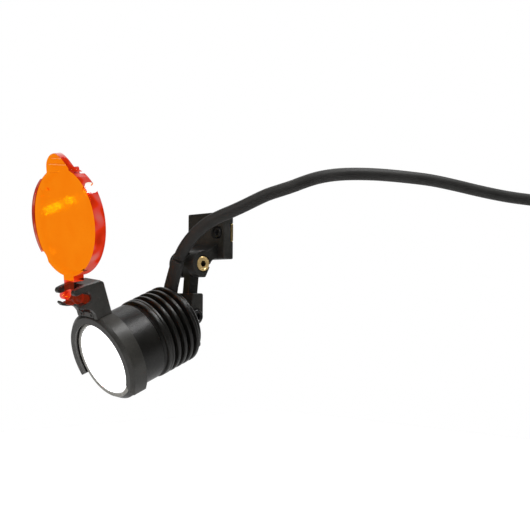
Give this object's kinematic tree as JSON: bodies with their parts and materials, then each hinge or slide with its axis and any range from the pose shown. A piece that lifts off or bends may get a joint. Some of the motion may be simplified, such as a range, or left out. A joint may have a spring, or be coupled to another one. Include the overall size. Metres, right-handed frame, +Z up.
{
  "type": "dental headlight",
  "caption": "Small finned LED lamp head for dental loupes, hung on a two-pivot link from a mounting plate, with a push-on holder and a flip-up orange filter for use near light-cured fillings",
  "frame": {"origin": "centre of the mounting plate's back face, which rests on the loupe frame", "axes": "+X along the hinge screws towards the screw heads, +Y out of the plate's back, +Z up; the lamp points forward (-Y) and down"},
  "size_m": [0.0707, 0.1776, 0.0754],
  "materials": {
    "black_anodised": "anodised aluminium, satin",
    "black_plastic": "moulded, satin",
    "holder_plastic": "moulded, matt",
    "black_rubber": "matt",
    "brass": "turned",
    "black_steel": "blackened steel",
    "bright_steel": "bright",
    "orange_filter": "clear orange plastic",
    "lens_glass": "clear",
    "reflector_silver": "metallised",
    "led_phosphor": "phosphor under silicone",
    "board_white": "solder mask",
    "pad_grey": "silicone pad",
    "lead_red": "insulated wire",
    "lead_black": "insulated wire",
    "tie_strap": "woven strap"
  },
  "bodies": {
    "mount": {"mount_block": "black_plastic", "mount_screw_left": "black_steel", "mount_screw_right": "black_steel", "brass_insert_left": "brass", "brass_insert_right": "brass", "hinge_screw": "brass", "hinge_nut": "black_steel", "hinge_washer_near": "bright_steel", "hinge_washer_far": "bright_steel", "cord_lead": "black_rubber", "cord_coil": "black_rubber", "cord_tail": "black_rubber", "cord_tie": "tie_strap", "plug_body": "black_rubber", "plug_sleeve": "bright_steel", "plug_liner": "black_rubber", "plug_contact": "brass"},
    "link": {"link_arm": "black_plastic", "tilt_screw": "black_steel", "tilt_nut": "black_steel", "tilt_washer_near": "bright_steel", "tilt_washer_far": "bright_steel"},
    "head": {"front_barrel": "black_anodised", "heat_sink": "black_anodised", "front_lens": "lens_glass", "lens_gasket": "black_rubber", "reflector": "reflector_silver", "led_package": "led_phosphor", "led_board": "board_white", "thermal_pad": "pad_grey", "rear_cap": "black_anodised", "rear_cap_screw_1": "black_steel", "rear_cap_screw_2": "black_steel", "rear_cap_screw_3": "black_steel", "strain_relief": "black_rubber", "led_lead_red": "lead_red", "led_lead_black": "lead_black"},
    "filter_holder": {"filter_clip": "holder_plastic"},
    "filter": {"filter_cup": "orange_filter"}
  },
  "joints": [
    {"name": "mount_hinge", "type": "hinge", "parent": "mount", "child": "link", "pos_m": [0, -0.0076, -0.0073], "axis": [1, 0, 0], "range_deg": [-30, 30], "deforming": ["cord_lead", "strain_relief"]},
    {"name": "head_tilt", "type": "hinge", "parent": "link", "child": "head", "pos_m": [0, -0.0088, -0.0205], "axis": [1, 0, 0], "range_deg": [-10, 30], "deforming": ["strain_relief"]},
    {"name": "holder_swivel", "type": "hinge", "parent": "head", "child": "filter_holder", "pos_m": [0, -0.03373, -0.03087], "axis": [0, 0.9232, 0.3843], "range_deg": [-60, 60]},
    {"name": "filter_flip", "type": "hinge", "parent": "filter_holder", "child": "filter", "pos_m": [0.00209, -0.04301, -0.01591], "axis": [0.9928, 0.0459, -0.1103], "range_deg": [-6, 192.5]}
  ]
}
